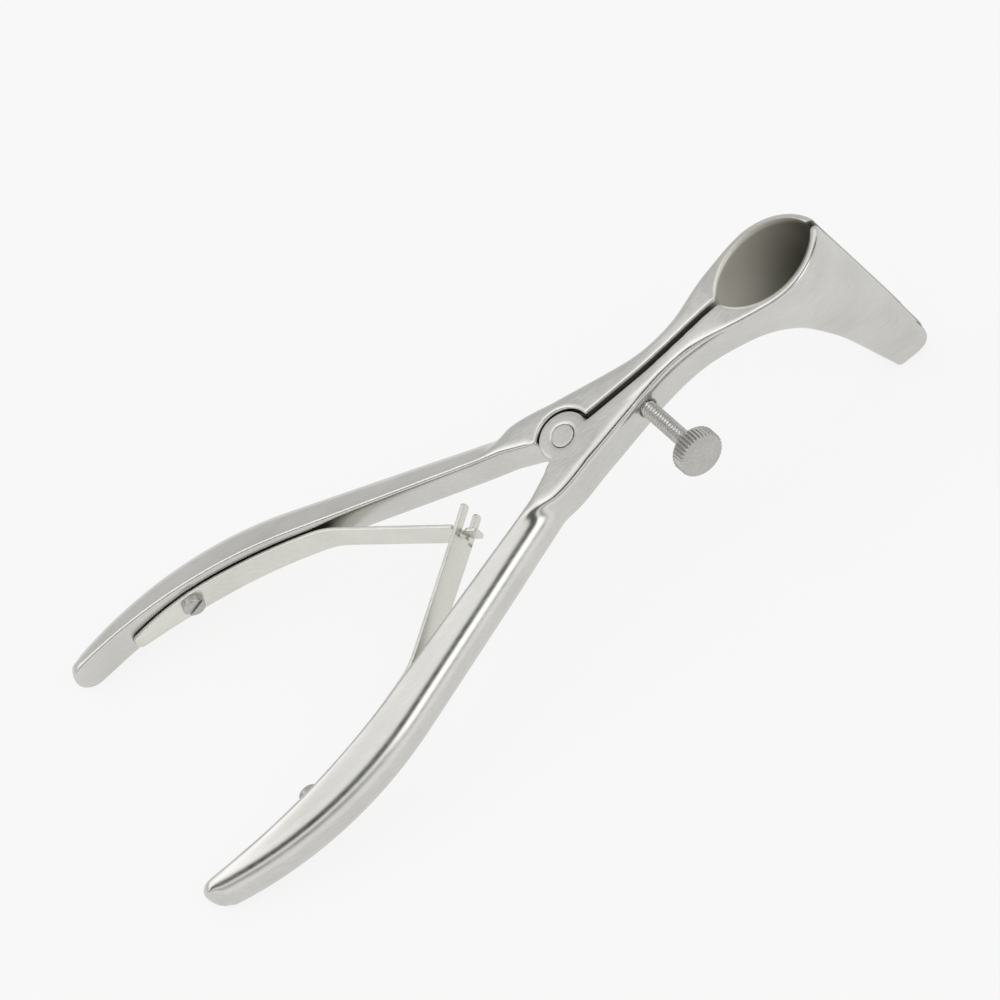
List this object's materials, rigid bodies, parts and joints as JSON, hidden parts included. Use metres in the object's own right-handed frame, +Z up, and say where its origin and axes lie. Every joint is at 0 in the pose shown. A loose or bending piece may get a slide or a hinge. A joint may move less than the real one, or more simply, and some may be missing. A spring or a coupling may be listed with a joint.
{
  "type": "nasal speculum",
  "caption": "Self-retaining nasal speculum: sprung steel handles on a lap joint, half-funnel blades that spread as the handles are squeezed, and a knurled set screw that holds the opening.",
  "frame": {"origin": "middle of the instrument's outline on the floor it lies on, under the middle plane between the arms", "axes": "+X along the instrument toward the mouth and blades, +Y toward the left arm, +Z up from the floor, with handle ends and blade tips resting on it"},
  "size_m": [0.1414, 0.0608, 0.0389],
  "materials": {
    "forged_steel": "satin",
    "spring_steel": "satin",
    "screw_steel": "turned"
  },
  "bodies": {
    "fixed_arm": {"right_arm": "forged_steel", "pivot_pin": "forged_steel", "right_spring": "spring_steel", "right_spring_screw": "screw_steel"},
    "moving_arm": {"left_arm": "forged_steel", "left_spring": "spring_steel", "left_spring_screw": "screw_steel"},
    "set_screw": {"thumb_screw": "screw_steel"}
  },
  "joints": [
    {"name": "arm_pivot", "type": "hinge", "parent": "fixed_arm", "child": "moving_arm", "pos_m": [0.01327, 0, 0.02191], "axis": [-0.2487, 0, 0.9686], "range_deg": [0, 24], "stiffness_Nm_per_rad": 1, "springref_deg": -14.32, "deforming": ["left_spring", "right_spring"]},
    {"name": "screw_feed", "type": "slide", "parent": "fixed_arm", "child": "set_screw", "axis": [-0.1964, 0.9792, -0.0504], "range_m": [-0.002, 0.0015]}
  ]
}
